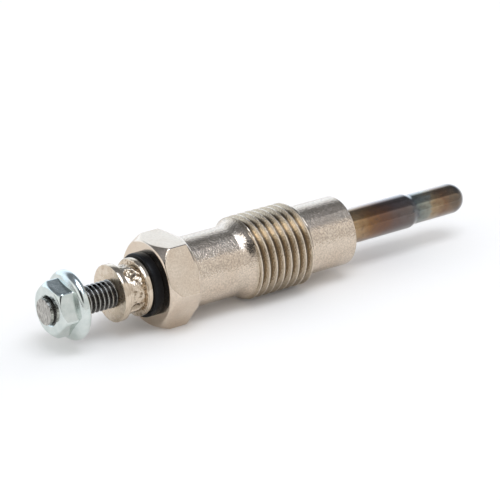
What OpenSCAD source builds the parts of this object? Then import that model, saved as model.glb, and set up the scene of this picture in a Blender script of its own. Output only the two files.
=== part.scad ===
// Diesel glow plug with a threaded terminal, lying on one flat of its hexagon.
// The plug's axis is X: terminal at -X, heated tip at +X, origin in the middle
// of the mounting thread. All sizes are in millimetres.

/* [Housing] */
// Mounting thread over its crests
thread_d = 12; // [8:0.5:18]
// Length of full thread
thread_len = 9.2; // [5:0.1:20]
// Length of the chamfer at the thread's tip end
thread_end_len = 0.6; // [0.3:0.1:1.5]
// Length of the hollow flare from shank to thread
flare_len = 2.1; // [1:0.1:5]
// Hexagon across its flats
hex_af = 12; // [9:0.5:17]
// Hexagon length, chamfers included
hex_len = 5.25; // [4:0.05:12]
// Chamfer length at the hexagon's terminal end
hex_front_chamfer = 1.45; // [0.3:0.05:2]
// Chamfer length at the hexagon's shank end
hex_back_chamfer = 0.95; // [0.7:0.05:2]
// Length of the tapered edge between that chamfer and the shank
hex_edge_len = 0.5; // [0.2:0.05:0.6]
// How far that edge draws in
hex_edge_drop = 0.2; // [0.05:0.05:0.4]
// Shank diameter
shank_d = 10; // [7:0.1:11.5]
// Shank length
shank_len = 7.8; // [3:0.1:40]
// Nose diameter
nose_d = 10; // [7:0.1:10.5]
// Nose length, from the thread's chamfer to the seat's edge
nose_len = 7.5; // [3:0.1:20]
// Included angle of the conical seat
seat_angle = 120; // [90:1:140]
// Bore that holds the seal and the washer's spigot
seal_bore_d = 6.8; // [6:0.1:8]
// Depth of that bore
seal_bore_depth = 5; // [3:0.1:8]
// Bore round the connecting pin
pin_bore_d = 4.6; // [3.8:0.1:4.8]

/* [Glow tube] */
// Sheath diameter next to the nose
tube_d = 5.1; // [4.9:0.05:6.5]
// Sheath diameter at the tip
tip_d = 4.45; // [4:0.05:4.8]
// Sheath length that stands out of the nose, tip included
tube_out_len = 23; // [15:0.5:40]
// Length of the thinner tip
tip_len = 9.7; // [6:0.1:14]
// Length of the step between the two diameters
step_len = 0.7; // [0.3:0.1:2]
// Sheath length pressed into the nose
press_len = 13.5; // [8:0.1:16]
// Sheath wall
tube_wall = 0.45; // [0.3:0.05:0.6]

/* [Terminal] */
// Stud thread over its crests
stud_d = 4; // [3:0.5:4]
// Stud length in front of the round nut
stud_out_len = 10.5; // [8:0.25:20]
// Chamfer at the stud's end
stud_chamfer = 0.4; // [0.1:0.05:0.8]
// Connecting pin diameter
pin_d = 3.2; // [2.5:0.1:3.4]
// Gap between the round nut and the flange nut
nut_gap = 5.85; // [0:0.05:6]
// Flange nut height
nut_h = 3.95; // [3:0.05:6]
// Flange nut across its flats
nut_af = 7; // [6.5:0.1:8]
// Round face that the chamfer of its corners leaves
nut_face_d = 6.8; // [6:0.1:7.5]
// Countersink of its bore
nut_mouth = 0.2; // [0.05:0.05:0.4]
// Flange diameter
nut_flange_d = 9.8; // [9:0.1:14]
// Thickness of the flange's rim
nut_rim = 1.45; // [1:0.05:2]
// Rounding of the rim's edges
nut_round = 0.45; // [0.1:0.05:0.45]
// Rise of the flange from its rim to the hexagon
nut_slope = 0.3; // [0.1:0.05:0.8]
// Angle that the flange nut came to rest at
nut_turn = -10; // [-30:1:30]
// Round nut's length
collar_len = 4.6; // [4:0.1:8]
// Round nut's contact disc
disc_d = 8.1; // [7:0.1:10]
// Thickness of that disc
disc_t = 0.95; // [0.6:0.05:1.5]
// Round nut's waist
waist_d = 6.8; // [6:0.1:7.2]
// Round nut's flange on the washer
foot_d = 8.2; // [7.4:0.1:10]
// Thickness of that flange
foot_t = 1; // [0.6:0.05:1.5]
// Rounding of the edges of the disc and the flange
disc_round = 0.15; // [0.05:0.05:0.25]
// Depth of the crimp marks in the waist
crimp_depth = 0.45; // [0.1:0.05:0.7]
// Radius of the punch that made them
crimp_r = 1.1; // [0.8:0.05:1.3]
// Number of crimp marks
crimps = 4; // [2:1:6]
// Insulating washer's diameter
washer_d = 9.05; // [8:0.05:11]
// Insulating washer's thickness
washer_t = 1.35; // [0.8:0.05:3]
// Rounding of its edges
washer_round = 0.2; // [0.05:0.05:0.35]
// Sealing ring's thickness along the axis
seal_t = 1.8; // [1.2:0.1:2.4]
// Element seal's length
element_seal_len = 2.5; // [1:0.1:4]

/* [Coils] */
// Coil radius at the wire's centre
coil_r = 1.2; // [0.9:0.05:1.3]
// Wire diameter
wire_d = 0.4; // [0.2:0.05:0.5]
// Turns of the regulating coil
regulating_turns = 11; // [6:1:16]
// Turns of the heating coil
heating_turns = 9; // [5:1:12]
// Length of the heating coil
heating_len = 10.5; // [6:0.5:12]
// Stretch of pin inside the regulating coil
pin_overlap = 2.2; // [1:0.1:4]
// Stretch of full pin past the element seal
pin_rest = 1; // [0.5:0.1:2]
// Length of the pin's thin end
core_len = 5; // [4.5:0.1:6]

/* [Fits] */
// Radial gap of a threaded or pressed fit
fit_gap = 0.02; // [0.01:0.01:0.05]
// Radial gap of the washer in the housing and over the stud
washer_gap = 0.05; // [0.02:0.01:0.1]
// Gap between the packed powder and what it holds
powder_gap = 0.03; // [0.01:0.01:0.1]

/* [Hidden] */
$fn = 96;
// How far a cutting tool runs past the face that it opens
past = 1;
// Straight stretches in a rounded edge and in the flare
edge_steps = 4;
flare_steps = 6;
// How much fatter the sealing ring is than the space it is squeezed into
seal_squeeze = 1.15;

// Stations along the axis, outwards from the thread
thread_x0 = -thread_len / 2;
thread_x1 = thread_len / 2;
shank_x1 = thread_x0 - flare_len;
hex_x1 = shank_x1 - shank_len;
hex_x0 = hex_x1 - hex_len;
nose_x0 = thread_x1 + thread_end_len;
nose_x1 = nose_x0 + nose_len;

// Hexagon
hex_corner_r = hex_af / 2 / cos(30);
hex_front_slope = (hex_corner_r - hex_af / 2) / hex_front_chamfer;
hex_back_slope = (hex_corner_r - hex_af / 2) / (hex_back_chamfer - hex_edge_len);

// Sheath
tube_r = tube_d / 2;
tip_r = tip_d / 2;
tube_bore_r = tube_r - tube_wall;
tip_bore_r = tip_r - tube_wall;
tube_x0 = nose_x1 - press_len;
tube_end = nose_x1 + tube_out_len;
step_x1 = tube_end - tip_len;
step_x0 = step_x1 - step_len;
dome_x = tube_end - tip_r;
seat_x1 = nose_x1 + (nose_d / 2 - tube_r - fit_gap) / tan(seat_angle / 2);

// Terminal stack, from the housing's mouth outwards
washer_x0 = hex_x0 - washer_t;
collar_x0 = washer_x0 - collar_len;
nut_x1 = collar_x0 - nut_gap;
nut_x0 = nut_x1 - nut_h;
stud_x0 = collar_x0 - stud_out_len;
stud_r = stud_d / 2;
pin_r = pin_d / 2;
nut_corner_r = nut_af / 2 / cos(30);
nut_bore_r = stud_r + fit_gap;
seal_x1 = hex_x0 + seal_bore_depth;
seal_x0 = seal_x1 - seal_t;

// Coils and the thin end of the pin
wire_r = wire_d / 2;
coil_steps = 12;
wire_sides = 6;
// How near the axis the straight stretches between a coil's points come
coil_chord_r = coil_r * cos(180 / coil_steps);
core_r = coil_chord_r - wire_r - fit_gap;
element_seal_x1 = tube_x0 + element_seal_len;
heating_x1 = dome_x - wire_d;
heating_x0 = heating_x1 - heating_len;
lead_x1 = dome_x + sqrt(pow(tip_bore_r, 2) - pow(coil_r + wire_r, 2)) - fit_gap;
core_x0 = element_seal_x1 + pin_rest;
core_x1 = core_x0 + core_len;
regulating_x0 = core_x1 - pin_overlap;

// Quarter of a rounded edge about [r, x], from an angle that is 180 to the front and 90 outwards.
function edge(r, x, round_r, from) = [for (i = [0 : edge_steps])
    let (a = from - 90 * i / edge_steps)
    [r + round_r * sin(a), x + round_r * cos(a)]];

// Outside of a disc from x0 to x1 with both edges rounded.
function disc_outline(x0, x1, r, round_r) = concat(
    edge(r - round_r, x0 + round_r, round_r, 180),
    edge(r - round_r, x1 - round_r, round_r, 90)
);

// Flare that leaves the shank gently and meets the thread steeply.
function flare_outline() = [for (i = [0 : flare_steps])
    let (share = i / flare_steps)
    [(shank_d + (thread_d - shank_d) * share * share) / 2, shank_x1 + flare_len * share]];

// Turns an outline of [radius, x] points about the plug's axis.
module turned(outline) {
    rotate([0, 90, 0]) rotate_extrude() polygon(outline);
}

// Round bar along the axis.
module bar(x0, x1, r) {
    translate([x0, 0, 0]) rotate([0, 90, 0]) cylinder(r = r, h = x1 - x0);
}

// Hexagonal bar along the axis, with a flat downwards at turn 0.
module hex_bar(x0, x1, corner_r, turn) {
    translate([x0, 0, 0]) rotate([turn, 0, 0]) rotate([0, 90, 0]) rotate([0, 0, 30])
        cylinder(r = corner_r, h = x1 - x0, $fn = 6);
}

// Closed end of the sheath and of what fills it.
module dome(r) {
    translate([dome_x, 0, 0]) sphere(r = r);
}

// Two-diameter bar with a domed end, which the sheath's outside, bore and filling share.
module sheath_form(x0, r, end_r) {
    turned([[0, x0], [r, x0], [r, step_x0], [end_r, step_x1], [end_r, dome_x], [0, dome_x]]);
    dome(end_r);
}

module hexagon() {
    rim_r = hex_corner_r + past;
    rim = rim_r - hex_af / 2;
    intersection() {
        hex_bar(hex_x0, hex_x1, hex_corner_r, 0);
        turned([
            [0, hex_x0],
            [hex_af / 2, hex_x0],
            [rim_r, hex_x0 + rim / hex_front_slope],
            [rim_r, hex_x1 - hex_edge_len - rim / hex_back_slope],
            [hex_af / 2, hex_x1 - hex_edge_len],
            [hex_af / 2 - hex_edge_drop, hex_x1],
            [0, hex_x1]
        ]);
    }
}

module plug_housing() {
    color("Wheat") difference() {
        union() {
            hexagon();
            turned(concat(
                [[0, hex_x1 - past], [shank_d / 2, hex_x1 - past]],
                flare_outline(),
                [
                    [thread_d / 2, thread_x1],
                    [nose_d / 2, nose_x0],
                    [nose_d / 2, nose_x1],
                    [tube_r + fit_gap, seat_x1],
                    [0, seat_x1]
                ]
            ));
        }
        bar(hex_x0 - past, seal_x1, seal_bore_d / 2);
        bar(seal_x1 - past, tube_x0 + past, pin_bore_d / 2);
        bar(tube_x0, seat_x1 + past, tube_r + fit_gap);
    }
}

module glow_tube() {
    color("Sienna") difference() {
        sheath_form(tube_x0, tube_r, tip_r);
        sheath_form(tube_x0 - past, tube_bore_r, tip_bore_r);
    }
}

module terminal_stud() {
    color("DimGray") turned([
        [0, stud_x0],
        [stud_r - stud_chamfer, stud_x0],
        [stud_r, stud_x0 + stud_chamfer],
        [stud_r, washer_x0],
        [pin_r, washer_x0 + stud_r - pin_r],
        [pin_r, core_x0],
        [core_r, core_x0],
        [core_r, core_x1],
        [0, core_x1]
    ]);
}

module terminal_nut() {
    rim_x0 = nut_x1 - nut_rim;
    blank_r = nut_corner_r + past;
    mouth_r = nut_bore_r + nut_mouth;
    color("LightSteelBlue") difference() {
        union() {
            intersection() {
                hex_bar(nut_x0, rim_x0, nut_corner_r, nut_turn);
                turned([
                    [0, nut_x0],
                    [nut_face_d / 2, nut_x0],
                    [blank_r, nut_x0 + blank_r - nut_face_d / 2],
                    [blank_r, nut_x1],
                    [0, nut_x1]
                ]);
            }
            turned(concat(
                [[0, rim_x0 - nut_slope], [nut_af / 2, rim_x0 - nut_slope]],
                disc_outline(rim_x0, nut_x1, nut_flange_d / 2, nut_round),
                [[0, nut_x1]]
            ));
        }
        bar(nut_x0 - past, nut_x1 + past, nut_bore_r);
        turned([
            [0, nut_x0 - past],
            [mouth_r + past, nut_x0 - past],
            [nut_bore_r, nut_x0 + nut_mouth],
            [0, nut_x0 + nut_mouth]
        ]);
    }
}

module round_nut() {
    waist_x0 = collar_x0 + disc_t;
    waist_x1 = washer_x0 - foot_t;
    waist_r = waist_d / 2;
    color("BurlyWood") difference() {
        turned(concat(
            [[nut_bore_r, collar_x0]],
            disc_outline(collar_x0, waist_x0, disc_d / 2, disc_round),
            [[waist_r, waist_x0], [waist_r, waist_x1]],
            disc_outline(waist_x1, washer_x0, foot_d / 2, disc_round),
            [[nut_bore_r, washer_x0]]
        ));
        for (i = [0 : crimps - 1])
            rotate([45 + i * 360 / crimps, 0, 0])
                translate([(waist_x0 + waist_x1) / 2, 0, waist_r - crimp_depth + crimp_r])
                    sphere(r = crimp_r);
    }
}

module insulating_washer() {
    spigot_r = seal_bore_d / 2 - washer_gap;
    color("DarkSlateGray") turned(concat(
        [[stud_r + washer_gap, washer_x0]],
        disc_outline(washer_x0, hex_x0, washer_d / 2, washer_round),
        [[spigot_r, hex_x0], [spigot_r, seal_x0], [stud_r + washer_gap, seal_x0]]
    ));
}

// Ring squeezed between the pin and the bore, so it is flat where it touches them.
module housing_seal() {
    section_r = (seal_bore_d / 2 - pin_r) / 2;
    color("Black") intersection() {
        difference() {
            bar(seal_x0, seal_x1, seal_bore_d / 2 - fit_gap);
            bar(seal_x0 - past, seal_x1 + past, pin_r + fit_gap);
        }
        translate([(seal_x0 + seal_x1) / 2, 0, 0]) rotate([0, 90, 0])
            rotate_extrude() translate([pin_r + section_r, 0]) circle(r = section_r * seal_squeeze);
    }
}

module element_seal() {
    color("Firebrick") difference() {
        bar(tube_x0, element_seal_x1, tube_bore_r - fit_gap);
        bar(tube_x0 - past, element_seal_x1 + past, pin_r + fit_gap);
    }
}

// Wire of round section along a path that keeps coil_r from the axis.
module wire(path) {
    last = len(path) - 1;
    sides = wire_sides;
    rings = [for (i = [0 : last])
        let (
            along = path[min(i + 1, last)] - path[max(i - 1, 0)],
            out = [0, path[i][1], path[i][2]] / coil_r,
            side = cross(along / norm(along), out)
        )
        for (k = [0 : sides - 1])
            path[i] + wire_r * (cos(k * 360 / sides) * out + sin(k * 360 / sides) * side)];
    walls = [for (i = [0 : last - 1]) for (k = [0 : sides - 1])
        let (a = i * sides + k, b = i * sides + (k + 1) % sides)
        each [[a, b, b + sides], [a, b + sides, a + sides]]];
    start_cap = [for (k = [sides - 1 : -1 : 0]) k];
    end_cap = [for (k = [0 : sides - 1]) last * sides + k];
    polyhedron(rings, concat(walls, [start_cap, end_cap]));
}

// Points of a coil from x0 to x1.
function coil_path(x0, x1, turns) = [for (i = [0 : turns * coil_steps])
    let (a = 360 * i / coil_steps)
    [x0 + (x1 - x0) * i / (turns * coil_steps), coil_r * cos(a), coil_r * sin(a)]];

module regulating_coil() {
    color("Silver") wire(coil_path(regulating_x0, heating_x0 - fit_gap, regulating_turns));
}

module heating_coil() {
    color("Goldenrod") wire(concat(coil_path(heating_x0, heating_x1, heating_turns), [[lead_x1, coil_r, 0]]));
}

module filling_powder() {
    coil_out_r = coil_r + wire_r + powder_gap;
    coil_in_r = coil_chord_r - wire_r - powder_gap;
    color("Ivory") difference() {
        sheath_form(element_seal_x1, tube_bore_r - powder_gap, tip_bore_r - powder_gap);
        bar(element_seal_x1 - past, core_x0 + powder_gap, pin_r + powder_gap);
        bar(core_x0, core_x1 + powder_gap, core_r + powder_gap);
        difference() {
            bar(regulating_x0 - wire_d, heating_x1 + wire_d, coil_out_r);
            bar(core_x1 + powder_gap, heating_x1 + wire_d + past, coil_in_r);
        }
        translate([0, coil_r, 0]) bar(heating_x1, tube_end, wire_r + powder_gap / 2);
    }
}

terminal_nut();
terminal_stud();
round_nut();
insulating_washer();
housing_seal();
plug_housing();
element_seal();
glow_tube();
regulating_coil();
heating_coil();
filling_powder();
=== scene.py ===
"""Diesel glow plug lying on one flat of its hexagon, on a white studio floor."""

import math

import bmesh
import bpy
from mathutils import Matrix, Vector


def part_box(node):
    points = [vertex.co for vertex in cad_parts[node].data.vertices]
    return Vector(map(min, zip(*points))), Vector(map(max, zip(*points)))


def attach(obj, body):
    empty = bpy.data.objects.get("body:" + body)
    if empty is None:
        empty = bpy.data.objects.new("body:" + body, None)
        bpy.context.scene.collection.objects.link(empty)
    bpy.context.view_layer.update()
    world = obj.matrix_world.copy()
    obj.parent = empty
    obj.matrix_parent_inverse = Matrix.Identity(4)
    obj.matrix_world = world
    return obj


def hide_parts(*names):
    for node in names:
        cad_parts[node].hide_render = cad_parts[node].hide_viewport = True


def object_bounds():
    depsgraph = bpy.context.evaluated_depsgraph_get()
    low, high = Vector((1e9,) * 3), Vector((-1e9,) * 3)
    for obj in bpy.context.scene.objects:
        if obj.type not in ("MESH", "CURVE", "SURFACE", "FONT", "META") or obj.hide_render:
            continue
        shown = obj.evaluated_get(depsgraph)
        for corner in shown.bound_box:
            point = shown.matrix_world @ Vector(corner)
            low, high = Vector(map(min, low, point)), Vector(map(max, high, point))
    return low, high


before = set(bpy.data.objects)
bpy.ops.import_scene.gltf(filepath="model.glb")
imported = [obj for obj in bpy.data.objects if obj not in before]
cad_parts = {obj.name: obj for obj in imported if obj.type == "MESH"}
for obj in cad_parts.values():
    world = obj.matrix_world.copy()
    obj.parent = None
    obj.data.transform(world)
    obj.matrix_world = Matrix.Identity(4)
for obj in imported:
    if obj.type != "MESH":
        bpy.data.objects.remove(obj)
cad_low, cad_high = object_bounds()

MM = 0.001


def span(node):
    """First and last station of a CAD node along the plug's axis, and its largest radius, in mm."""
    low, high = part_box(node)
    return low.x / MM, high.x / MM, high.z / MM


# Sizes in millimetres and angles in degrees. The first ones come from the frame, and the rest are the
# part's driving sizes and the fine edges that only the render has.
NUT_X0, NUT_X1, NUT_FLANGE_R = span("terminal_nut")
STUD_X0, PIN_X1, STUD_R = span("terminal_stud")
COLLAR_X0, COLLAR_X1, COLLAR_FOOT_R = span("round_nut")
WASHER_X0, WASHER_X1, WASHER_R = span("insulating_washer")
HEX_X0, SEAT_X1, HEX_APOTHEM = span("plug_housing")
TUBE_X0, TUBE_X1, TUBE_R = span("glow_tube")
_, SEAL_X1, SEAL_BORE_R = span("housing_seal")

THREAD_R = 6.0
THREAD_LEN = 9.2
THREAD_PITCH = 1.25
THREAD_DEPTH = 0.68
THREAD_END_LEN = 0.6
THREAD_PHASE = 0.97
THREAD_RUNOUT = 0.7
FLARE_LEN = 2.1
SHANK_R = 5.0
NOSE_R = 5.0
NOSE_LEN = 7.5
NOSE_ROUND = 0.1
SEAT_SLOPE = 60
JOIN_LEN = 0.3
HEX_LEN = 5.25
HEX_TURN = 30
HEX_FRONT_CHAMFER = 1.45
HEX_BACK_CHAMFER = 0.95
HEX_EDGE_LEN = 0.5
HEX_EDGE_DROP = 0.2
HEX_EDGE_CURVE = 1.7
HEX_ROUND = 0.14
HEX_FILLET = 0.3
TUBE_CLEARANCE = 0.02
PIN_BORE_R = 2.3
TIP_R = 2.225
TIP_LEN = 9.7
STEP_LEN = 0.7
STEP_EASE = 0.35
TUBE_WALL = 0.45
STUD_PITCH = 0.7
STUD_DEPTH = 0.4
STUD_PHASE = 0.45
PIN_R = 1.6
PIN_CORE_R = 0.94
PIN_CORE_LEN = 5.0
STUD_CHAMFER = 0.15
STUD_END_LEN = 0.8
NUT_CLEARANCE = 0.02
NUT_APOTHEM = 3.5
NUT_FACE_R = 3.4
NUT_MOUTH = 0.2
NUT_RIM = 1.45
NUT_ROUND = 0.45
NUT_FRONT_ROUND = 0.85
NUT_EDGE = 0.25
NUT_SLOPE = 0.3
NUT_SLOPE_EDGE = (0.05, 0.2)
NUT_FOOT = 0.2
NUT_TURN = 20
DISC_R = 4.05
DISC_T = 0.95
WAIST_R = 3.4
DISC_ROUND = 0.1
FOOT_T = 1.0
FOOT_ROUND = 0.15
CRIMP_R = 1.1
CRIMP_DEPTH = 0.45
CRIMPS = 4
CRIMP_TURN = 62
WASHER_CLEARANCE = 0.05
WASHER_ROUND = 0.2
WASHER_BACK_ROUND = 0.1
SPIGOT_CLEARANCE = 0.03

THREAD_X0 = -THREAD_LEN / 2
THREAD_X1 = THREAD_LEN / 2
SHANK_X1 = THREAD_X0 - FLARE_LEN
HEX_X1 = HEX_X0 + HEX_LEN
NOSE_X0 = THREAD_X1 + THREAD_END_LEN
NOSE_X1 = NOSE_X0 + NOSE_LEN
STEP_X1 = TUBE_X1 - TIP_LEN
STEP_X0 = STEP_X1 - STEP_LEN
DOME_X = TUBE_X1 - TIP_R
PIN_CORE_X0 = PIN_X1 - PIN_CORE_LEN
TUBE_BORE_R = TUBE_R + TUBE_CLEARANCE
NUT_BORE_R = STUD_R + NUT_CLEARANCE
WAIST_X0 = COLLAR_X0 + DISC_T
WAIST_X1 = COLLAR_X1 - FOOT_T

# How finely the pieces are turned, threaded and milled.
TURN_STEPS = 192
THREAD_STEPS = 128
STUD_STEPS = 72
FLANGE_STEPS = 120
COLLAR_STEPS = 288
WAIST_RINGS = 40
STEP_RINGS = 12
MILL_STEP = 0.08
MILL_MARGIN = 0.01
CORNER_CROWD = 0.85
END_ROUND_LEN = 0.2
END_ROUND_DROP = 0.12
END_ROUND_SHARES = (0, 0.05, 0.15, 0.3, 0.5, 0.75)
END_BAND = 0.04
SHARP_ANGLE = 40
FINE = 1e-4


# Shaping


def arc(x, r, radius, start, end, steps=6):
    """Points of an arc about (x, r), from one angle to another in degrees, 0 being +X and 90 outwards."""
    angles = [math.radians(start + (end - start) * i / steps) for i in range(steps + 1)]
    return [(x + radius * math.cos(a), r + radius * math.sin(a)) for a in angles]


def chain(bm, points, closed=False):
    """Joins (x, radius) points into one line of edges beside the axis."""
    verts = [bm.verts.new((x, 0.0, r)) for x, r in points]
    ends = verts[1:] + verts[:1] if closed else verts[1:]
    return verts + [bm.edges.new(pair) for pair in zip(verts, ends)]


def turn(bm, points, closed=False, steps=TURN_STEPS):
    """Turns an outline of (x, radius) points about the plug's axis."""
    bmesh.ops.spin(
        bm,
        geom=chain(bm, points, closed),
        axis=(1, 0, 0),
        angle=math.tau,
        steps=steps,
        use_merge=True,
    )
    bmesh.ops.remove_doubles(bm, verts=bm.verts, dist=FINE)


def stations(x0, x1):
    """Stations from x0 to x1, crowded at the start, where an edge is rounded."""
    start = x0 + END_ROUND_LEN
    count = round((x1 - start) / MILL_STEP)
    crowded = [x0 + END_ROUND_LEN * share for share in END_ROUND_SHARES]
    return crowded + [start + (x1 - start) * i / count for i in range(count + 1)]


def end_round(x, x0):
    """How far the rounding of an end's edge draws a blank in."""
    return END_ROUND_DROP * max(0, 1 - (x - x0) / END_ROUND_LEN) ** 2


def eased_min(a, b, ease):
    """Smaller of two radii, with their crossing rounded."""
    return min(a, b) - max(0, ease - abs(a - b)) ** 2 / (4 * ease)


def mill_hexagon(bm, apothem, first_angle, ease, blank, x0, x1, least_r):
    """Gives a turned blank six eased flats, beyond a radius and between two stations."""
    for v in bm.verts:
        r = math.hypot(v.co.y, v.co.z)
        angle = math.degrees(math.atan2(v.co.z, -v.co.y))
        share = (angle - first_angle + 30) / 60 % 1
        crowded = share - CORNER_CROWD * math.sin(math.tau * share) / math.tau
        angle = math.radians(angle + 60 * (crowded - share))
        if x0 - FINE < v.co.x < x1 + FINE and r > least_r:
            off = math.radians(abs(60 * crowded - 30))
            flat = apothem / math.cos(off)
            next_flat = apothem / math.cos(math.radians(60) - off)
            r = eased_min(eased_min(flat, next_flat, ease), blank(v.co.x), ease)
        v.co.y = -r * math.cos(angle)
        v.co.z = r * math.sin(angle)


def thread_profile(pitch, crest_r, depth):
    """One pitch of a thread of about 60 degrees with eased crests and roots, from root to root."""
    root_r = crest_r - depth
    corners = [
        (0.0, root_r),
        (0.06, root_r),
        (0.1, root_r + 0.06 * depth),
        (0.44, crest_r - 0.04 * depth),
        (0.46, crest_r),
        (0.54, crest_r),
        (0.56, crest_r - 0.04 * depth),
        (0.9, root_r + 0.06 * depth),
        (0.94, root_r),
        (1.0, root_r),
    ]
    steps = [1, 1, 6, 1, 1, 1, 6, 1, 1]
    points = []
    for (x0, r0), (x1, r1), count in zip(corners, corners[1:], steps):
        points += [
            (pitch * (x0 + (x1 - x0) * i / count), r0 + (r1 - r0) * i / count)
            for i in range(count)
        ]
    return points + [(pitch, root_r)]


def roll_thread(x0, x1, pitch, crest_r, depth, phase, least, most, steps):
    """Open tube with a right-hand thread from x0 to x1, its radius held between least(x) and most(x)."""
    bm = bmesh.new()
    turns = math.ceil((x1 - x0) / pitch) + 2
    start = x0 - 2 * pitch + (phase - x0) % pitch
    line = [(start + x, r) for x, r in thread_profile(pitch, crest_r, depth)]
    bmesh.ops.spin(
        bm,
        geom=chain(bm, line),
        axis=(1, 0, 0),
        dvec=(pitch / steps, 0, 0),
        angle=math.tau,
        steps=steps,
    )
    first_turn = bm.verts[:] + bm.edges[:] + bm.faces[:]
    for i in range(1, turns):
        copy = bmesh.ops.duplicate(bm, geom=first_turn)["geom"]
        verts = [g for g in copy if isinstance(g, bmesh.types.BMVert)]
        bmesh.ops.translate(bm, vec=(pitch * i, 0, 0), verts=verts)
    bmesh.ops.remove_doubles(bm, verts=bm.verts, dist=FINE)
    for v in bm.verts:
        r = math.hypot(v.co.y, v.co.z)
        fit = min(max(r, least(v.co.x)), most(v.co.x)) / r
        v.co.y *= fit
        v.co.z *= fit
    for x, side in ((x0, -1), (x1, 1)):
        bmesh.ops.bisect_plane(
            bm,
            geom=bm.verts[:] + bm.edges[:] + bm.faces[:],
            dist=FINE,
            plane_co=(x, 0, 0),
            plane_no=(side, 0, 0),
            clear_outer=True,
        )
    return bm


def add_shell(bm, other):
    """Moves another bmesh's faces into this one."""
    mesh = bpy.data.meshes.new("shell")
    other.to_mesh(mesh)
    other.free()
    bm.from_mesh(mesh)
    bpy.data.meshes.remove(mesh)


def rim_at(bm, x):
    """Open edges in the plane at a station."""
    return [
        e
        for e in bm.edges
        if e.is_boundary and all(abs(v.co.x - x) < 10 * FINE for v in e.verts)
    ]


def bridge(bm, x0, x1):
    """Closes the band between two open rims."""
    bmesh.ops.bridge_loops(bm, edges=rim_at(bm, x0) + rim_at(bm, x1))


def piece(name, bm, material, node):
    """Turns a finished bmesh in millimetres into a piece that stands for a CAD node."""
    bmesh.ops.remove_doubles(bm, verts=bm.verts, dist=FINE)
    bmesh.ops.recalc_face_normals(bm, faces=bm.faces)
    bmesh.ops.scale(bm, vec=(MM, MM, MM), verts=bm.verts)
    for f in bm.faces:
        f.smooth = True
    for e in bm.edges:
        e.smooth = not e.is_manifold or e.calc_face_angle() < math.radians(SHARP_ANGLE)
    mesh = bpy.data.meshes.new(name)
    bm.to_mesh(mesh)
    bm.free()
    mesh.materials.append(material)
    obj = bpy.data.objects.new(name, mesh)
    bpy.context.scene.collection.objects.link(obj)
    normals = obj.modifiers.new("even_normals", "WEIGHTED_NORMAL")
    normals.keep_sharp = True
    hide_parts(node)
    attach(obj, "root")


# Materials


class Nodes:
    """Short ways to lay nodes in a shader tree."""

    def __init__(self, tree):
        self.tree = tree

    def node(self, kind, **sockets):
        made = self.tree.nodes.new(kind)
        for key, value in sockets.items():
            self.put(made.inputs[key.replace("_", " ")], value)
        return made

    def put(self, socket, value):
        if isinstance(value, bpy.types.NodeSocket):
            self.tree.links.new(value, socket)
        else:
            socket.default_value = value

    def math(self, operation, a, b=0.0):
        made = self.tree.nodes.new("ShaderNodeMath")
        made.operation = operation
        self.put(made.inputs[0], a)
        self.put(made.inputs[1], b)
        return made.outputs[0]

    def product(self, first, *others):
        for value in others:
            first = self.math("MULTIPLY", first, value)
        return first

    def along(self, vector, direction):
        """How far a vector points along a direction."""
        made = self.node("ShaderNodeVectorMath")
        made.operation = "DOT_PRODUCT"
        self.put(made.inputs[0], vector)
        self.put(made.inputs[1], direction)
        return made.outputs["Value"]

    def between(self, value, low, high, to_low=0.0, to_high=1.0):
        """Value carried from one range to another, and held at its ends."""
        made = self.node("ShaderNodeMapRange", Value=value)
        for socket, number in zip(list(made.inputs)[1:5], (low, high, to_low, to_high)):
            self.put(socket, number)
        return made.outputs[0]

    def ramp(self, fac, stops):
        made = self.node("ShaderNodeValToRGB", Fac=fac)
        band = made.color_ramp
        while len(band.elements) < len(stops):
            band.elements.new(0.5)
        for element, (place, color) in zip(band.elements, stops):
            element.position = place
            element.color = (*color, 1)
        return made.outputs["Color"]

    def mix(self, fac, a, b):
        made = self.tree.nodes.new("ShaderNodeMix")
        made.data_type = "RGBA"
        self.put(made.inputs[0], fac)
        for socket, color in ((made.inputs[6], a), (made.inputs[7], b)):
            self.put(socket, color if isinstance(color, bpy.types.NodeSocket) else (*color, 1))
        return made.outputs[2]


class Finish(Nodes):
    """A node material built round one Principled shader."""

    def __init__(self, name, color, roughness, metallic=1.0):
        self.material = bpy.data.materials.new(name)
        self.material.use_nodes = True
        super().__init__(self.material.node_tree)
        self.shader = self.tree.nodes["Principled BSDF"]
        self.shader.inputs["Base Color"].default_value = (*color, 1)
        self.shader.inputs["Metallic"].default_value = metallic
        self.shader.inputs["Roughness"].default_value = roughness
        self.where = self.node("ShaderNodeTexCoord").outputs["Object"]

    def noise(self, stretch, detail):
        """Noise in cells of 1/stretch millimetres along each axis."""
        mapping = self.node("ShaderNodeMapping", Vector=self.where)
        mapping.inputs["Scale"].default_value = [s / MM for s in stretch]
        made = self.node("ShaderNodeTexNoise", Vector=mapping.outputs[0], Scale=1.0, Detail=detail)
        return made.outputs["Fac"]

    def station(self):
        """Place along the plug's axis, in millimetres."""
        split = self.node("ShaderNodeSeparateXYZ", Vector=self.where)
        return self.math("MULTIPLY", split.outputs["X"], 1 / MM)

    def radius(self):
        """Distance from the plug's axis, in millimetres."""
        split = self.node("ShaderNodeSeparateXYZ", Vector=self.where)
        y2 = self.math("MULTIPLY", split.outputs["Y"], split.outputs["Y"])
        z2 = self.math("MULTIPLY", split.outputs["Z"], split.outputs["Z"])
        return self.math("MULTIPLY", self.math("SQRT", self.math("ADD", y2, z2)), 1 / MM)

    def color(self, value):
        self.put(self.shader.inputs["Base Color"], value)

    def roughness(self, value):
        self.put(self.shader.inputs["Roughness"], value)

    def bump(self, height, depth):
        """Relief of a depth in millimetres."""
        made = self.node("ShaderNodeBump", Height=height, Strength=1.0, Distance=depth * MM)
        self.put(self.shader.inputs["Normal"], made.outputs[0])


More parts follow.
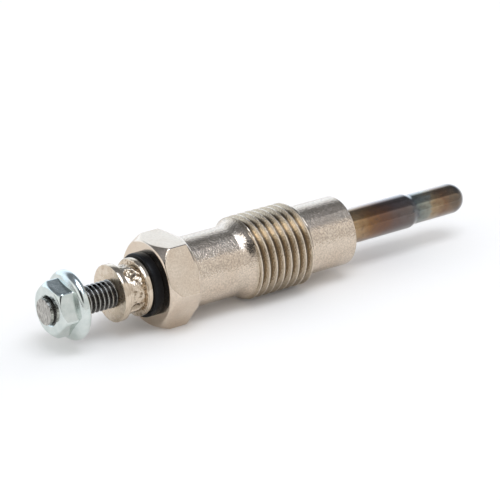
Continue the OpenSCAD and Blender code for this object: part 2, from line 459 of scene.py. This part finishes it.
def srgb(red, green, blue):
    """Scene colour of an sRGB tone from 0 to 255."""
    return tuple(
        c / 12.92 if c <= 0.04045 else ((c + 0.055) / 1.055) ** 2.4
        for c in (red / 255, green / 255, blue / 255)
    )


def nickel_plate():
    """Warm nickel with a fine grain; the hexagon is smoother, and the thread has painted shade in its
    roots and a painted highlight on its crests.
    """
    finish = Finish("nickel_plate", srgb(210, 195, 177), 0.22)
    station = finish.station()
    turned = finish.between(station, HEX_X1 - 0.1, HEX_X1 + 0.1)
    patches = finish.between(finish.noise((0.35, 0.35, 0.35), detail=4), 0.3, 0.7)
    clean = finish.mix(patches, srgb(213, 196, 177), srgb(222, 208, 191))
    grain = finish.noise((4, 4, 4), detail=2)
    coarse = finish.between(turned, 0, 1, 0.4, 1)
    stipple = finish.product(coarse, finish.between(grain, 0.35, 0.65, 0.38, 0.0))
    threaded = finish.product(
        finish.between(station, THREAD_X0 - 0.6, THREAD_X0 - 0.1),
        finish.between(station, THREAD_X1 + 0.5, THREAD_X1 + 0.1),
    )
    depth = finish.between(finish.radius(), THREAD_R - THREAD_DEPTH, THREAD_R)
    # Painted shade darkens the thread's roots and a painted highlight lightens its crests, by depth below
    # the crest.
    thread_shade_and_highlight = finish.ramp(
        depth,
        [
            (0.0, srgb(84, 70, 52)),
            (0.15, srgb(146, 128, 104)),
            (0.35, srgb(189, 174, 152)),
            (0.85, srgb(185, 169, 147)),
            (0.97, srgb(226, 213, 196)),
        ],
    )
    finish.color(finish.mix(stipple, finish.mix(threaded, clean, thread_shade_and_highlight), srgb(122, 110, 98)))
    finish.roughness(finish.between(turned, 0, 1, 0.15, 0.18))
    finish.bump(finish.product(grain, finish.between(turned, 0, 1, 0.2, 1)), 0.038)
    return finish.material


def collar_nickel():
    """Bright nickel of the crimped round nut, battered near the foot and dirty in the crimps."""
    finish = Finish("collar_nickel", srgb(214, 200, 183), 0.14)
    station = finish.station()
    marks = finish.noise((5, 1.2, 1.2), detail=3)
    clean = finish.mix(finish.between(marks, 0.3, 0.7), srgb(190, 173, 151), srgb(219, 205, 187))
    dents = finish.noise((1.2, 1.5, 1.5), detail=3)
    battered = finish.product(
        finish.between(station, WAIST_X0 + 0.4, WAIST_X0 + 1.2),
        finish.between(station, WAIST_X1 + 0.15, WAIST_X1 - 0.05),
    )
    sunk = finish.between(finish.radius(), WAIST_R - 0.06, WAIST_R - 0.2)
    pits = finish.product(battered, finish.between(dents, 0.45, 0.36, 0, 0.8))
    grime = finish.math("MAXIMUM", pits, finish.product(sunk, battered, 0.45))
    finish.color(finish.mix(grime, clean, srgb(92, 74, 48)))
    face = finish.between(station, COLLAR_X0 + 0.1, COLLAR_X0 + 0.03, 0, 0.17)
    finish.roughness(finish.math("ADD", face, finish.between(marks, 0.2, 0.8, 0.07, 0.14)))
    finish.bump(finish.product(dents, battered), 0.3)
    return finish.material


def zinc_plate():
    """Pale bluish zinc of the flange nut."""
    finish = Finish("zinc_plate", srgb(208, 214, 210), 0.28)
    cloud = finish.noise((0.9, 0.9, 0.9), detail=5)
    grain = finish.noise((7, 7, 7), detail=2)
    patches = finish.between(cloud, 0.3, 0.7)
    finish.color(finish.mix(patches, srgb(196, 205, 201), srgb(216, 221, 217)))
    finish.roughness(finish.between(cloud, 0.3, 0.7, 0.1, 0.2))
    finish.bump(grain, 0.005)
    return finish.material


def stud_steel():
    """Dark steel thread with bright rubbed crests and a grey sawn end."""
    finish = Finish("stud_steel", srgb(120, 118, 115), 0.3)
    grain = finish.noise((6, 6, 6), detail=3)
    rubbed = finish.between(finish.radius(), STUD_R - 0.1, STUD_R - 0.01)
    dark = finish.mix(grain, srgb(62, 60, 58), srgb(104, 101, 97))
    flank = finish.mix(rubbed, dark, srgb(196, 193, 188))
    sawn = finish.between(finish.noise((1, 9, 1.5), detail=3), 0.3, 0.7)
    end = finish.between(finish.station(), STUD_X0 + 0.5, STUD_X0 + 0.4)
    cut = finish.mix(sawn, srgb(96, 93, 88), srgb(212, 209, 202))
    finish.color(finish.mix(end, flank, cut))
    finish.roughness(finish.between(grain, 0.2, 0.8, 0.16, 0.34))
    finish.bump(finish.math("ADD", grain, sawn), 0.01)
    return finish.material


def black_moulding():
    """Black moulding of the insulating washer."""
    finish = Finish("black_moulding", (0.012, 0.012, 0.013), 0.22, metallic=0.0)
    grain = finish.noise((3, 3, 3), detail=4)
    finish.color(finish.mix(grain, (0.004, 0.004, 0.005), (0.012, 0.012, 0.013)))
    finish.put(finish.shader.inputs["Specular IOR Level"], 0.1)
    finish.roughness(finish.between(grain, 0.2, 0.8, 0.16, 0.3))
    finish.bump(grain, 0.004)
    return finish.material


# Heat colours of the sheath, as millimetres from the nose's edge and the tone that a white light gives.
HEAT_COLOURS = [
    (0.0, srgb(176, 152, 118)),
    (2.4, srgb(156, 130, 98)),
    (4.6, srgb(130, 97, 67)),
    (6.9, srgb(110, 82, 66)),
    (9.5, srgb(101, 87, 83)),
    (12.2, srgb(104, 98, 95)),
    (12.9, srgb(88, 88, 90)),
    (13.7, srgb(116, 122, 117)),
    (15.8, srgb(140, 139, 127)),
    (16.5, srgb(150, 131, 104)),
    (18.2, srgb(126, 98, 76)),
    (20.2, srgb(116, 100, 84)),
    (21.6, srgb(92, 86, 80)),
    (23.0, srgb(74, 71, 69)),
]


# Refractive index of the sheath's clear oxide skin, and the share of light that it turns back head-on.
SKIN_INDEX = 1.6
SKIN_SHARE = ((SKIN_INDEX - 1) / (SKIN_INDEX + 1)) ** 2


def under_skin(color):
    """Tone below the oxide skin that shows as a given tone through it."""
    return tuple(max(0.003, (c - SKIN_SHARE) / (1 - SKIN_SHARE)) for c in color)


def heat_coloured_sheath():
    """Nickel alloy with heat colours along it, fine drawn lines and a clear oxide skin."""
    finish = Finish("heat_coloured_sheath", srgb(110, 90, 75), 0.2)
    finish.put(finish.shader.inputs["Coat Weight"], 1.0)
    finish.put(finish.shader.inputs["Coat IOR"], SKIN_INDEX)
    finish.put(finish.shader.inputs["Coat Roughness"], 0.1)
    finish.put(finish.shader.inputs["Specular Tint"], (1.3, 1.3, 1.3, 1))
    length = TUBE_X1 - NOSE_X1
    wander = finish.between(finish.noise((0.6, 0.9, 0.9), detail=6), 0.3, 0.7, -0.8, 0.8)
    place = finish.math("ADD", finish.station(), wander)
    heat = finish.ramp(
        finish.between(place, NOSE_X1, TUBE_X1),
        [(x / length, under_skin(color)) for x, color in HEAT_COLOURS],
    )
    lines = finish.noise((0.25, 7, 7), detail=3)
    soot = finish.between(finish.noise((1.1, 1.6, 1.6), detail=5), 0.5, 0.75, 0, 0.5)
    finish.color(finish.mix(soot, heat, under_skin(srgb(84, 72, 60))))
    finish.roughness(finish.between(lines, 0.25, 0.75, 0.12, 0.2))
    finish.bump(lines, 0.004)
    return finish.material


def seal_rubber():
    """Dull black rubber of the two seals."""
    finish = Finish("seal_rubber", (0.02, 0.02, 0.02), 0.7, metallic=0.0)
    grain = finish.noise((4, 4, 4), detail=4)
    finish.color(finish.mix(grain, (0.015, 0.015, 0.015), (0.035, 0.034, 0.033)))
    finish.bump(grain, 0.01)
    return finish.material


def coil_wire():
    """Bare grey wire of the two coils."""
    finish = Finish("coil_wire", srgb(150, 145, 138), 0.35)
    grain = finish.noise((5, 5, 5), detail=3)
    finish.color(finish.mix(grain, srgb(128, 122, 114), srgb(168, 163, 156)))
    finish.bump(grain, 0.005)
    return finish.material


def packed_powder():
    """White powder packed round the coils."""
    finish = Finish("packed_powder", srgb(232, 230, 222), 0.9, metallic=0.0)
    grain = finish.noise((6, 6, 6), detail=5)
    finish.color(finish.mix(grain, srgb(220, 217, 208), srgb(240, 238, 231)))
    finish.bump(grain, 0.02)
    return finish.material


NICKEL = nickel_plate()


# Pieces


def plug_housing():
    """Hexagon, shank, thread, nose, seat and the bores, as one turned piece."""
    corner_rise = HEX_APOTHEM / math.cos(math.radians(30)) - HEX_APOTHEM
    edge_x = HEX_X1 - HEX_EDGE_LEN
    shank_end = SHANK_X1 - JOIN_LEN
    nose_start = NOSE_X0 + JOIN_LEN
    nose_round_x = NOSE_X1 - NOSE_ROUND * math.tan(math.radians(SEAT_SLOPE / 2))

    def hex_blank(x):
        front = (x - HEX_X0) / HEX_FRONT_CHAMFER * corner_rise - end_round(x, HEX_X0)
        back = (edge_x - x) / (HEX_BACK_CHAMFER - HEX_EDGE_LEN) * corner_rise
        if x > edge_x:
            back = -HEX_EDGE_DROP * ((x - edge_x) / HEX_EDGE_LEN) ** HEX_EDGE_CURVE
        return HEX_APOTHEM + min(front, back)

    least_r = hex_blank(HEX_X1) - MILL_MARGIN
    bm = bmesh.new()
    turn(
        bm,
        [
            (nose_start, NOSE_R),
            *arc(nose_round_x, NOSE_R - NOSE_ROUND, NOSE_ROUND, 90, 90 - SEAT_SLOPE, 4),
            (SEAT_X1, TUBE_BORE_R),
            (TUBE_X0, TUBE_BORE_R),
            (TUBE_X0, PIN_BORE_R),
            (SEAL_X1, PIN_BORE_R),
            (SEAL_X1, SEAL_BORE_R),
            (HEX_X0, SEAL_BORE_R),
            (HEX_X0, least_r - END_BAND),
            *[(x, hex_blank(x)) for x in stations(HEX_X0, HEX_X1)],
            *arc(HEX_X1 + HEX_FILLET, SHANK_R + HEX_FILLET, HEX_FILLET, 180, 270),
            (shank_end, SHANK_R),
        ],
    )
    mill_hexagon(bm, HEX_APOTHEM, HEX_TURN, HEX_ROUND, hex_blank, HEX_X0, HEX_X1, least_r)

    def blank(x):
        flare = SHANK_R + ((x - SHANK_X1) / FLARE_LEN) ** 2 * (THREAD_R - SHANK_R)
        chamfer = THREAD_R - (x - THREAD_X1) / THREAD_END_LEN * (THREAD_R - NOSE_R)
        return max(SHANK_R, min(flare, THREAD_R, chamfer))

    def runout(x):
        return THREAD_R - THREAD_DEPTH * max(0, x - THREAD_X0 + THREAD_RUNOUT / 2) / THREAD_RUNOUT

    add_shell(
        bm,
        roll_thread(
            SHANK_X1,
            NOSE_X0,
            THREAD_PITCH,
            THREAD_R,
            THREAD_DEPTH,
            THREAD_PHASE,
            runout,
            blank,
            THREAD_STEPS,
        ),
    )
    bridge(bm, shank_end, SHANK_X1)
    bridge(bm, NOSE_X0, nose_start)
    piece("housing", bm, NICKEL, "plug_housing")


def terminal_stud():
    """Threaded stud, one piece with the pin that runs to the coils."""
    thread_x1 = COLLAR_X1 + STUD_DEPTH

    def core(x):
        return STUD_R - STUD_CHAMFER if x < STUD_X0 + STUD_END_LEN else PIN_R

    def blank(x):
        end = STUD_R - STUD_CHAMFER + max(0, x - STUD_X0 - STUD_END_LEN)
        return min(STUD_R, end, PIN_R + max(0, thread_x1 - x))

    bm = roll_thread(
        STUD_X0,
        thread_x1,
        STUD_PITCH,
        STUD_R,
        STUD_DEPTH,
        STUD_PHASE,
        core,
        blank,
        STUD_STEPS,
    )
    rim = rim_at(bm, thread_x1)
    for x, r in ((PIN_CORE_X0, PIN_R), (PIN_CORE_X0, PIN_CORE_R), (PIN_X1, PIN_CORE_R)):
        grown = bmesh.ops.extrude_edge_only(bm, edges=rim)["geom"]
        rim = [g for g in grown if isinstance(g, bmesh.types.BMEdge) and g.is_boundary]
        for v in {v for e in rim for v in e.verts}:
            size = r / math.hypot(v.co.y, v.co.z)
            v.co = (x, v.co.y * size, v.co.z * size)
    bmesh.ops.holes_fill(bm, edges=[e for e in bm.edges if e.is_boundary])
    piece("stud", bm, stud_steel(), "terminal_stud")


def terminal_nut():
    """Hexagon flange nut: a chamfered hexagon on a flange with a rounded rim."""
    rim_x0 = NUT_X1 - NUT_RIM
    front_r = NUT_FLANGE_R - NUT_FRONT_ROUND
    slope_x = rim_x0 - NUT_SLOPE
    edge_len, edge_drop = NUT_SLOPE_EDGE
    foot_x = rim_x0 + NUT_FOOT

    def hex_blank(x):
        return NUT_FACE_R + x - NUT_X0 - end_round(x, NUT_X0)

    least_r = hex_blank(NUT_X0) - MILL_MARGIN
    bm = bmesh.new()
    turn(
        bm,
        [
            (NUT_X0, NUT_BORE_R + NUT_MOUTH),
            (NUT_X0, least_r - END_BAND),
            *[(x, hex_blank(x)) for x in stations(NUT_X0, foot_x)],
            (foot_x, NUT_BORE_R),
            (NUT_X0 + NUT_MOUTH, NUT_BORE_R),
        ],
        closed=True,
    )
    mill_hexagon(bm, NUT_APOTHEM, NUT_TURN, NUT_EDGE, hex_blank, NUT_X0, foot_x, least_r)
    flange = bmesh.new()
    turn(
        flange,
        [
            (slope_x, NUT_BORE_R),
            (slope_x, NUT_APOTHEM - edge_drop),
            (slope_x + edge_len, NUT_APOTHEM),
            *arc(rim_x0 + NUT_FRONT_ROUND, front_r, NUT_FRONT_ROUND, 160, 90, 14),
            *arc(NUT_X1 - NUT_ROUND, NUT_FLANGE_R - NUT_ROUND, NUT_ROUND, 90, 0, 10),
            (NUT_X1, NUT_BORE_R),
        ],
        closed=True,
        steps=FLANGE_STEPS,
    )
    add_shell(bm, flange)
    piece("flange_nut", bm, zinc_plate(), "terminal_nut")


def round_nut():
    """Spool-shaped nut with crimp marks punched into its waist."""
    waist_len = WAIST_X1 - WAIST_X0
    disc_r = DISC_R - DISC_ROUND
    bm = bmesh.new()
    turn(
        bm,
        [
            (COLLAR_X0, NUT_BORE_R),
            *arc(COLLAR_X0 + DISC_ROUND, disc_r, DISC_ROUND, 180, 90, 3),
            *arc(WAIST_X0 - DISC_ROUND, disc_r, DISC_ROUND, 90, 0, 3),
            *[(WAIST_X0 + waist_len * i / WAIST_RINGS, WAIST_R) for i in range(WAIST_RINGS + 1)],
            *arc(WAIST_X1 + FOOT_ROUND, COLLAR_FOOT_R - FOOT_ROUND, FOOT_ROUND, 180, 90, 3),
            *arc(COLLAR_X1 - DISC_ROUND, COLLAR_FOOT_R - DISC_ROUND, DISC_ROUND, 90, 0, 3),
            (COLLAR_X1, NUT_BORE_R),
        ],
        closed=True,
        steps=COLLAR_STEPS,
    )
    middle = (WAIST_X0 + WAIST_X1) / 2
    punch_r = WAIST_R - CRIMP_DEPTH + CRIMP_R
    for i in range(CRIMPS):
        angle = math.radians(CRIMP_TURN + 360 / CRIMPS * i)
        out = Vector((0, -math.cos(angle), math.sin(angle)))
        centre = Vector((middle, 0, 0)) + out * punch_r
        for v in bm.verts:
            if (v.co - centre).length < CRIMP_R:
                radial = Vector((0, v.co.y, v.co.z)).normalized()
                across = radial.dot(out) * punch_r
                half = across**2 - punch_r**2 + CRIMP_R**2 - (v.co.x - middle) ** 2
                r = across - math.sqrt(max(half, 0))
                v.co = Vector((v.co.x, 0, 0)) + radial * r
    piece("round_nut_crimped", bm, collar_nickel(), "round_nut")


def insulating_washer():
    """Black flanged washer with a spigot in the housing's mouth."""
    bore_r = STUD_R + WASHER_CLEARANCE
    spigot_r = SEAL_BORE_R - SPIGOT_CLEARANCE
    front_r = WASHER_R - WASHER_ROUND
    back_r = WASHER_R - WASHER_BACK_ROUND
    bm = bmesh.new()
    turn(
        bm,
        [
            (WASHER_X0, bore_r),
            *arc(WASHER_X0 + WASHER_ROUND, front_r, WASHER_ROUND, 180, 90),
            *arc(HEX_X0 - WASHER_BACK_ROUND, back_r, WASHER_BACK_ROUND, 90, 0, 3),
            (HEX_X0, spigot_r),
            (WASHER_X1, spigot_r),
            (WASHER_X1, bore_r),
        ],
        closed=True,
    )
    piece("washer", bm, black_moulding(), "insulating_washer")


def glow_tube():
    """Stepped sheath with a domed end, open inside the nose."""
    step_shares = [i / STEP_RINGS for i in range(STEP_RINGS + 1)]
    bm = bmesh.new()
    turn(
        bm,
        [
            *reversed(arc(DOME_X, 0, TIP_R - TUBE_WALL, 90, 0, 16)),
            (STEP_X1, TIP_R - TUBE_WALL),
            (STEP_X0, TUBE_R - TUBE_WALL),
            (TUBE_X0, TUBE_R - TUBE_WALL),
            (TUBE_X0, TUBE_R),
            *[
                (
                    STEP_X0 - STEP_EASE + (STEP_LEN + 2 * STEP_EASE) * share,
                    TIP_R + (TUBE_R - TIP_R) * (1 + math.cos(math.pi * share)) / 2,
                )
                for share in step_shares
            ],
            *arc(DOME_X, 0, TIP_R, 90, 0, 20),
        ],
    )
    piece("sheath", bm, heat_coloured_sheath(), "glow_tube")


plug_housing()
terminal_stud()
terminal_nut()
round_nut()
insulating_washer()
glow_tube()

for hidden, finish in (
    (("housing_seal", "element_seal"), seal_rubber()),
    (("regulating_coil", "heating_coil"), coil_wire()),
    (("filling_powder",), packed_powder()),
):
    for name in hidden:
        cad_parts[name].data.materials.clear()
        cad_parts[name].data.materials.append(finish)


# Studio

FLOOR_Z = cad_low.z
FLOOR_SIZE = 3.0


def studio_floor():
    """White floor that takes the shadow."""
    bm = bmesh.new()
    bmesh.ops.create_grid(bm, x_segments=1, y_segments=1, size=FLOOR_SIZE / 2)
    bmesh.ops.translate(bm, vec=(0, 0, FLOOR_Z), verts=bm.verts)
    mesh = bpy.data.meshes.new("floor")
    bm.to_mesh(mesh)
    bm.free()
    floor = bpy.data.objects.new("floor", mesh)
    bpy.context.scene.collection.objects.link(floor)
    finish = Finish("floor_white", (0.95, 0.95, 0.95), 0.9, metallic=0.0)
    finish.put(finish.shader.inputs["Specular IOR Level"], 0.0)
    mesh.materials.append(finish.material)


# Brightness round the plug's axis, in degrees from the front horizon over the top to the back.
STUDIO_BANDS = [
    (-180, (1.0, 1.0, 1.0)),
    (-10, (0.8, 0.8, 0.8)),
    (30, (0.88, 0.88, 0.88)),
    (47, (1.06, 1.06, 1.06)),
    (57, (0.36, 0.38, 0.42)),
    (92, (0.33, 0.36, 0.42)),
    (106, (0.22, 0.24, 0.27)),
    (133, (0.21, 0.23, 0.26)),
    (148, (1.12, 1.26, 1.44)),
    (162, (1.32, 1.5, 1.7)),
    (180, (1.4, 1.58, 1.82)),
]
FILL_LOW = (0.25, 0.25, 0.25)
FILL_SIDES = (0.86, 0.86, 0.87)
FILL_TOP = (0.5, 0.5, 0.51)
FILL_ENDS = (2.3, 2.3, 2.3)
LEFT_LOW = (0.3, 0.3, 0.3)
LEFT_HIGH = (1.25, 1.25, 1.25)
RIGHT = (0.7, 0.7, 0.7)
PANEL = (3.6, 4.1, 4.8)
LENS = (0.05, 0.05, 0.05)

# Where each of those lights begins and is full: parts of a direction along X or Z, or degrees.
LEFT_X = (-0.7, -0.85)
RIGHT_X = (0.7, 0.85)
FAR_RIGHT_X = (0.9, 0.99)
LEFT_Z = (0.05, 0.3)
PANEL_X = ((-0.05, 0.1), (0.42, 0.34))
PANEL_ROUND = ((48, 58), (102, 92))
FILL_SIDES_Z = (0.1, 0.45)
FILL_TOP_Z = (0.5, 0.9)
LENS_ROUND = (24, 16)
TO_CAMERA = (-0.53, -0.6, 0.6)

LAMP_COLOR = (0.95, 0.99, 1.05)
LAMP_SIZE = (0.95, 0.5)
LAMP_POWER = 4.7
LAMP_PLACE = (0, -0.3, 1.16)


def studio_light():
    """Bright front and back with a dark strip overhead, and one lamp that makes the shadow."""
    world = bpy.data.worlds.new("studio")
    bpy.context.scene.world = world
    world.use_nodes = True
    world.cycles.sampling_method = "NONE"
    nodes = Nodes(world.node_tree)
    toward = nodes.node("ShaderNodeTexCoord").outputs["Generated"]
    split = nodes.node("ShaderNodeSeparateXYZ", Vector=toward)
    along_x, along_z = split.outputs["X"], split.outputs["Z"]
    front = nodes.math("MULTIPLY", split.outputs["Y"], -1)
    round_axis = nodes.math("ARCTAN2", along_z, front)
    bands = nodes.ramp(
        nodes.between(round_axis, -math.pi, math.pi),
        [((angle + 180) / 360, color) for angle, color in STUDIO_BANDS],
    )
    left_end = nodes.between(along_x, *LEFT_X)
    right_end = nodes.between(along_x, *RIGHT_X)
    left = nodes.mix(nodes.between(along_z, *LEFT_Z), LEFT_LOW, LEFT_HIGH)
    bands = nodes.mix(left_end, bands, left)
    bands = nodes.mix(nodes.between(along_x, *FAR_RIGHT_X), bands, RIGHT)
    panel = nodes.product(
        *[nodes.between(along_x, *limits) for limits in PANEL_X],
        *[nodes.between(round_axis, *map(math.radians, limits)) for limits in PANEL_ROUND],
    )
    bands = nodes.mix(panel, bands, PANEL)
    near_lens = [math.cos(math.radians(angle)) for angle in LENS_ROUND]
    lens = nodes.between(nodes.along(toward, TO_CAMERA), *near_lens)
    mirrored = nodes.mix(lens, bands, LENS)
    path = nodes.node("ShaderNodeLightPath")
    fill = nodes.mix(nodes.between(along_z, *FILL_SIDES_Z), FILL_LOW, FILL_SIDES)
    fill = nodes.mix(nodes.between(along_z, *FILL_TOP_Z), fill, FILL_TOP)
    fill = nodes.mix(nodes.math("ADD", left_end, right_end), fill, FILL_ENDS)
    lit = nodes.mix(path.outputs["Diffuse Depth"], mirrored, fill)
    seen = nodes.mix(path.outputs["Is Camera Ray"], lit, (1, 1, 1))
    nodes.put(world.node_tree.nodes["Background"].inputs["Color"], seen)

    lamp = bpy.data.lights.new("lamp", "AREA")
    lamp.shape = "RECTANGLE"
    lamp.size, lamp.size_y = LAMP_SIZE
    lamp.energy = LAMP_POWER
    lamp.color = LAMP_COLOR
    overhead = bpy.data.objects.new("lamp", lamp)
    overhead.location = LAMP_PLACE
    overhead.rotation_euler = overhead.location.to_track_quat("Z", "Y").to_euler()
    bpy.context.scene.collection.objects.link(overhead)


CAMERA_AZIMUTH = -35.63
CAMERA_ELEVATION = 23.32
CAMERA_ROLL = 0.24
CAMERA_DISTANCE = 0.39103
CAMERA_TARGET = Vector((-0.00229, 0.0, 0.00066))
CAMERA_CLIP = (0.01, 20)
SENSOR_WIDTH = 36
FOCAL_PIXELS = 2790.3
IMAGE_PIXELS = 500


def photo_camera():
    """Long lens at the photograph's angle."""
    camera = bpy.data.cameras.new("photo_camera")
    camera.sensor_width = SENSOR_WIDTH
    camera.lens = SENSOR_WIDTH * FOCAL_PIXELS / IMAGE_PIXELS
    obj = bpy.data.objects.new("photo_camera", camera)
    azimuth = math.radians(CAMERA_AZIMUTH)
    elevation = math.radians(CAMERA_ELEVATION)
    back = Vector(
        (
            math.sin(azimuth) * math.cos(elevation),
            -math.cos(azimuth) * math.cos(elevation),
            math.sin(elevation),
        )
    )
    right = Vector((math.cos(azimuth), math.sin(azimuth), 0))
    turned = Matrix((right, back.cross(right), back)).transposed()
    turned = turned @ Matrix.Rotation(math.radians(CAMERA_ROLL), 3, "Z")
    obj.matrix_world = Matrix.LocRotScale(CAMERA_TARGET + back * CAMERA_DISTANCE, turned, None)
    camera.clip_start, camera.clip_end = CAMERA_CLIP
    bpy.context.scene.collection.objects.link(obj)
    bpy.context.scene.camera = obj


studio_floor()
studio_light()
photo_camera()
bpy.context.scene.view_settings.view_transform = "Standard"
